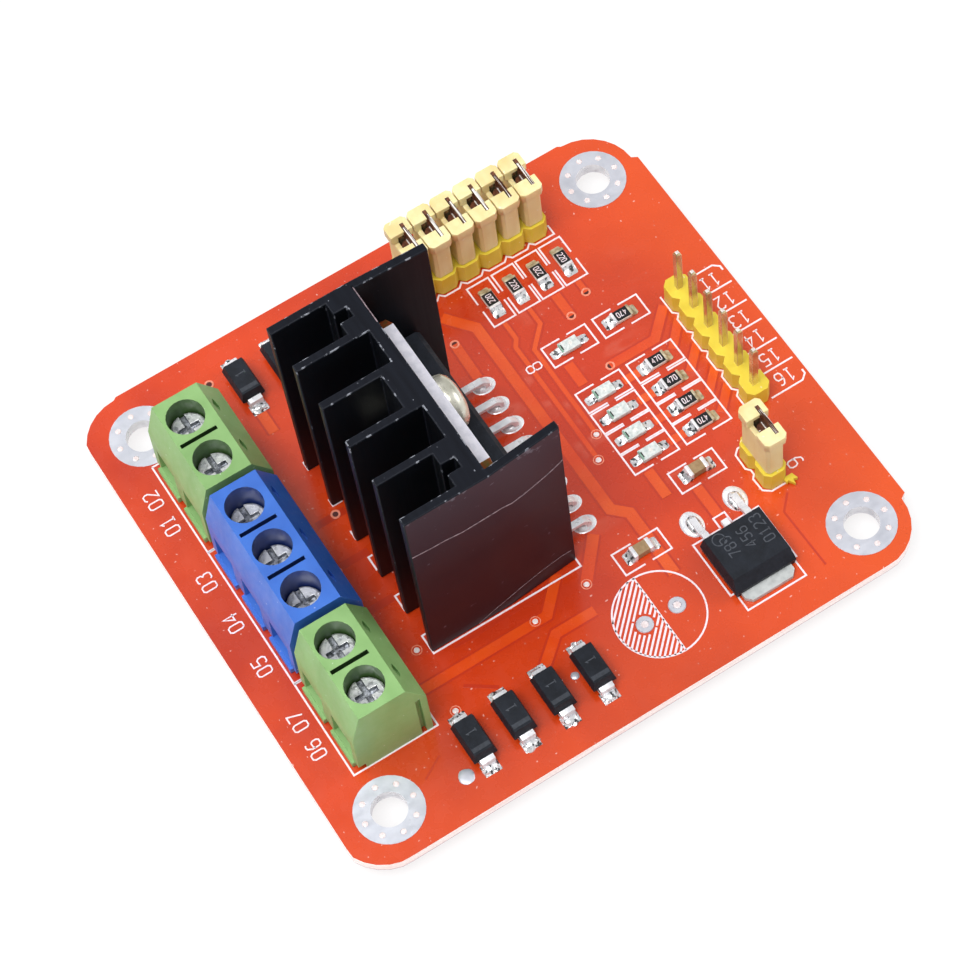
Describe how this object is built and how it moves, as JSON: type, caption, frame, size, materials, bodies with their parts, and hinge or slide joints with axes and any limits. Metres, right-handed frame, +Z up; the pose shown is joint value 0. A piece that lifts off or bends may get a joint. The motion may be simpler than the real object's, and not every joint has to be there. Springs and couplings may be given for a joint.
{
  "type": "dc motor driver module",
  "caption": "Circuit board that drives DC motors, with a finned heatsink over a multi-lead chip, screw terminals, pin headers and pull-off jumper caps.",
  "frame": {"origin": "on the plane that the soldered lead tips stand on, under the middle of the four mounting holes", "axes": "+Z up, square to the board; +X along the row of screw terminals; +Y from the terminals, whose wire entries face -Y, towards the control header"},
  "size_m": [0.0558, 0.061, 0.0284],
  "materials": {
    "red_board": "glossy orange-red solder mask on glass-fibre board",
    "black_anodised": "black anodised extrusion, satin",
    "black_epoxy": "matt moulded epoxy",
    "tinned_copper": "tinned copper alloy",
    "zinc_steel": "bright zinc plating",
    "green_plastic": "satin moulded nylon",
    "blue_plastic": "satin moulded nylon",
    "yellow_plastic": "satin moulded plastic",
    "pale_yellow_plastic": "satin, slightly translucent plastic",
    "black_ceramic": "coated ceramic chip with tinned ends",
    "tan_ceramic": "fired ceramic chip with tinned ends",
    "led_resin": "milky clear resin"
  },
  "bodies": {
    "board": {"circuit_board": "red_board", "heatsink": "black_anodised", "heatsink_screw": "zinc_steel", "driver_chip": "black_epoxy", "driver_chip_tab": "tinned_copper", "terminal_left": "green_plastic", "terminal_middle": "blue_plastic", "terminal_right": "green_plastic", "control_header": "yellow_plastic", "jumper_header": "yellow_plastic", "supply_header": "yellow_plastic", "input_resistor_1": "black_ceramic", "input_resistor_2": "black_ceramic", "input_resistor_3": "black_ceramic", "input_resistor_4": "black_ceramic", "indicator_resistor_1": "black_ceramic", "indicator_resistor_2": "black_ceramic", "indicator_resistor_3": "black_ceramic", "indicator_resistor_4": "black_ceramic", "power_led_resistor": "black_ceramic", "indicator_led_1": "led_resin", "indicator_led_2": "led_resin", "indicator_led_3": "led_resin", "indicator_led_4": "led_resin", "power_led": "led_resin", "ceramic_capacitor_1": "tan_ceramic", "ceramic_capacitor_2": "tan_ceramic", "diode_left_1": "black_epoxy", "diode_left_2": "black_epoxy", "diode_left_3": "black_epoxy", "diode_left_4": "black_epoxy", "diode_right_1": "black_epoxy", "diode_right_2": "black_epoxy", "diode_right_3": "black_epoxy", "diode_right_4": "black_epoxy", "voltage_regulator": "black_epoxy", "regulator_tab": "tinned_copper"},
    "left_screw_1": {"terminal_left_screw_1": "zinc_steel"},
    "left_screw_2": {"terminal_left_screw_2": "zinc_steel"},
    "middle_screw_1": {"terminal_middle_screw_1": "zinc_steel"},
    "middle_screw_2": {"terminal_middle_screw_2": "zinc_steel"},
    "middle_screw_3": {"terminal_middle_screw_3": "zinc_steel"},
    "right_screw_1": {"terminal_right_screw_1": "zinc_steel"},
    "right_screw_2": {"terminal_right_screw_2": "zinc_steel"},
    "left_clamp_1": {"terminal_left_clamp_1": "zinc_steel"},
    "left_clamp_2": {"terminal_left_clamp_2": "zinc_steel"},
    "middle_clamp_1": {"terminal_middle_clamp_1": "zinc_steel"},
    "middle_clamp_2": {"terminal_middle_clamp_2": "zinc_steel"},
    "middle_clamp_3": {"terminal_middle_clamp_3": "zinc_steel"},
    "right_clamp_1": {"terminal_right_clamp_1": "zinc_steel"},
    "right_clamp_2": {"terminal_right_clamp_2": "zinc_steel"},
    "cap_1": {"jumper_cap_1": "pale_yellow_plastic"},
    "cap_2": {"jumper_cap_2": "pale_yellow_plastic"},
    "cap_3": {"jumper_cap_3": "pale_yellow_plastic"},
    "cap_4": {"jumper_cap_4": "pale_yellow_plastic"},
    "cap_5": {"jumper_cap_5": "pale_yellow_plastic"},
    "cap_6": {"jumper_cap_6": "pale_yellow_plastic"},
    "supply_cap": {"supply_jumper_cap": "pale_yellow_plastic"}
  },
  "joints": [
    {"name": "left_screw_1_turn", "type": "hinge", "parent": "board", "child": "left_screw_1", "pos_m": [-0.01659, -0.02235, 0.0106], "axis": [0, 0, -1], "range_deg": [0, 720]},
    {"name": "left_screw_2_turn", "type": "hinge", "parent": "board", "child": "left_screw_2", "pos_m": [-0.01151, -0.02235, 0.0106], "axis": [0, 0, -1], "range_deg": [0, 720]},
    {"name": "middle_screw_1_turn", "type": "hinge", "parent": "board", "child": "middle_screw_1", "pos_m": [-0.00561, -0.02235, 0.0106], "axis": [0, 0, -1], "range_deg": [0, 720]},
    {"name": "middle_screw_2_turn", "type": "hinge", "parent": "board", "child": "middle_screw_2", "pos_m": [-0.00053, -0.02235, 0.0106], "axis": [0, 0, -1], "range_deg": [0, 720]},
    {"name": "middle_screw_3_turn", "type": "hinge", "parent": "board", "child": "middle_screw_3", "pos_m": [0.00455, -0.02235, 0.0106], "axis": [0, 0, -1], "range_deg": [0, 720]},
    {"name": "right_screw_1_turn", "type": "hinge", "parent": "board", "child": "right_screw_1", "pos_m": [0.01056, -0.02235, 0.0106], "axis": [0, 0, -1], "range_deg": [0, 720]},
    {"name": "right_screw_2_turn", "type": "hinge", "parent": "board", "child": "right_screw_2", "pos_m": [0.01564, -0.02235, 0.0106], "axis": [0, 0, -1], "range_deg": [0, 720]},
    {"name": "left_clamp_1_rise", "type": "slide", "parent": "board", "child": "left_clamp_1", "axis": [0, 0, 1], "range_m": [0, 0.001]},
    {"name": "left_clamp_2_rise", "type": "slide", "parent": "board", "child": "left_clamp_2", "axis": [0, 0, 1], "range_m": [0, 0.001]},
    {"name": "middle_clamp_1_rise", "type": "slide", "parent": "board", "child": "middle_clamp_1", "axis": [0, 0, 1], "range_m": [0, 0.001]},
    {"name": "middle_clamp_2_rise", "type": "slide", "parent": "board", "child": "middle_clamp_2", "axis": [0, 0, 1], "range_m": [0, 0.001]},
    {"name": "middle_clamp_3_rise", "type": "slide", "parent": "board", "child": "middle_clamp_3", "axis": [0, 0, 1], "range_m": [0, 0.001]},
    {"name": "right_clamp_1_rise", "type": "slide", "parent": "board", "child": "right_clamp_1", "axis": [0, 0, 1], "range_m": [0, 0.001]},
    {"name": "right_clamp_2_rise", "type": "slide", "parent": "board", "child": "right_clamp_2", "axis": [0, 0, 1], "range_m": [0, 0.001]},
    {"name": "cap_1_pull", "type": "slide", "parent": "board", "child": "cap_1", "axis": [0, 0, 1], "range_m": [0, 0.006]},
    {"name": "cap_2_pull", "type": "slide", "parent": "board", "child": "cap_2", "axis": [0, 0, 1], "range_m": [0, 0.006]},
    {"name": "cap_3_pull", "type": "slide", "parent": "board", "child": "cap_3", "axis": [0, 0, 1], "range_m": [0, 0.006]},
    {"name": "cap_4_pull", "type": "slide", "parent": "board", "child": "cap_4", "axis": [0, 0, 1], "range_m": [0, 0.006]},
    {"name": "cap_5_pull", "type": "slide", "parent": "board", "child": "cap_5", "axis": [0, 0, 1], "range_m": [0, 0.006]},
    {"name": "cap_6_pull", "type": "slide", "parent": "board", "child": "cap_6", "axis": [0, 0, 1], "range_m": [0, 0.006]},
    {"name": "supply_cap_pull", "type": "slide", "parent": "board", "child": "supply_cap", "axis": [0, 0, 1], "range_m": [0, 0.006]}
  ],
  "couplings": [
    {"joint": "left_screw_1_turn", "follows": "left_clamp_1_rise", "rad_per_m": 12566},
    {"joint": "left_screw_2_turn", "follows": "left_clamp_2_rise", "rad_per_m": 12566},
    {"joint": "middle_screw_1_turn", "follows": "middle_clamp_1_rise", "rad_per_m": 12566},
    {"joint": "middle_screw_2_turn", "follows": "middle_clamp_2_rise", "rad_per_m": 12566},
    {"joint": "middle_screw_3_turn", "follows": "middle_clamp_3_rise", "rad_per_m": 12566},
    {"joint": "right_screw_1_turn", "follows": "right_clamp_1_rise", "rad_per_m": 12566},
    {"joint": "right_screw_2_turn", "follows": "right_clamp_2_rise", "rad_per_m": 12566}
  ]
}
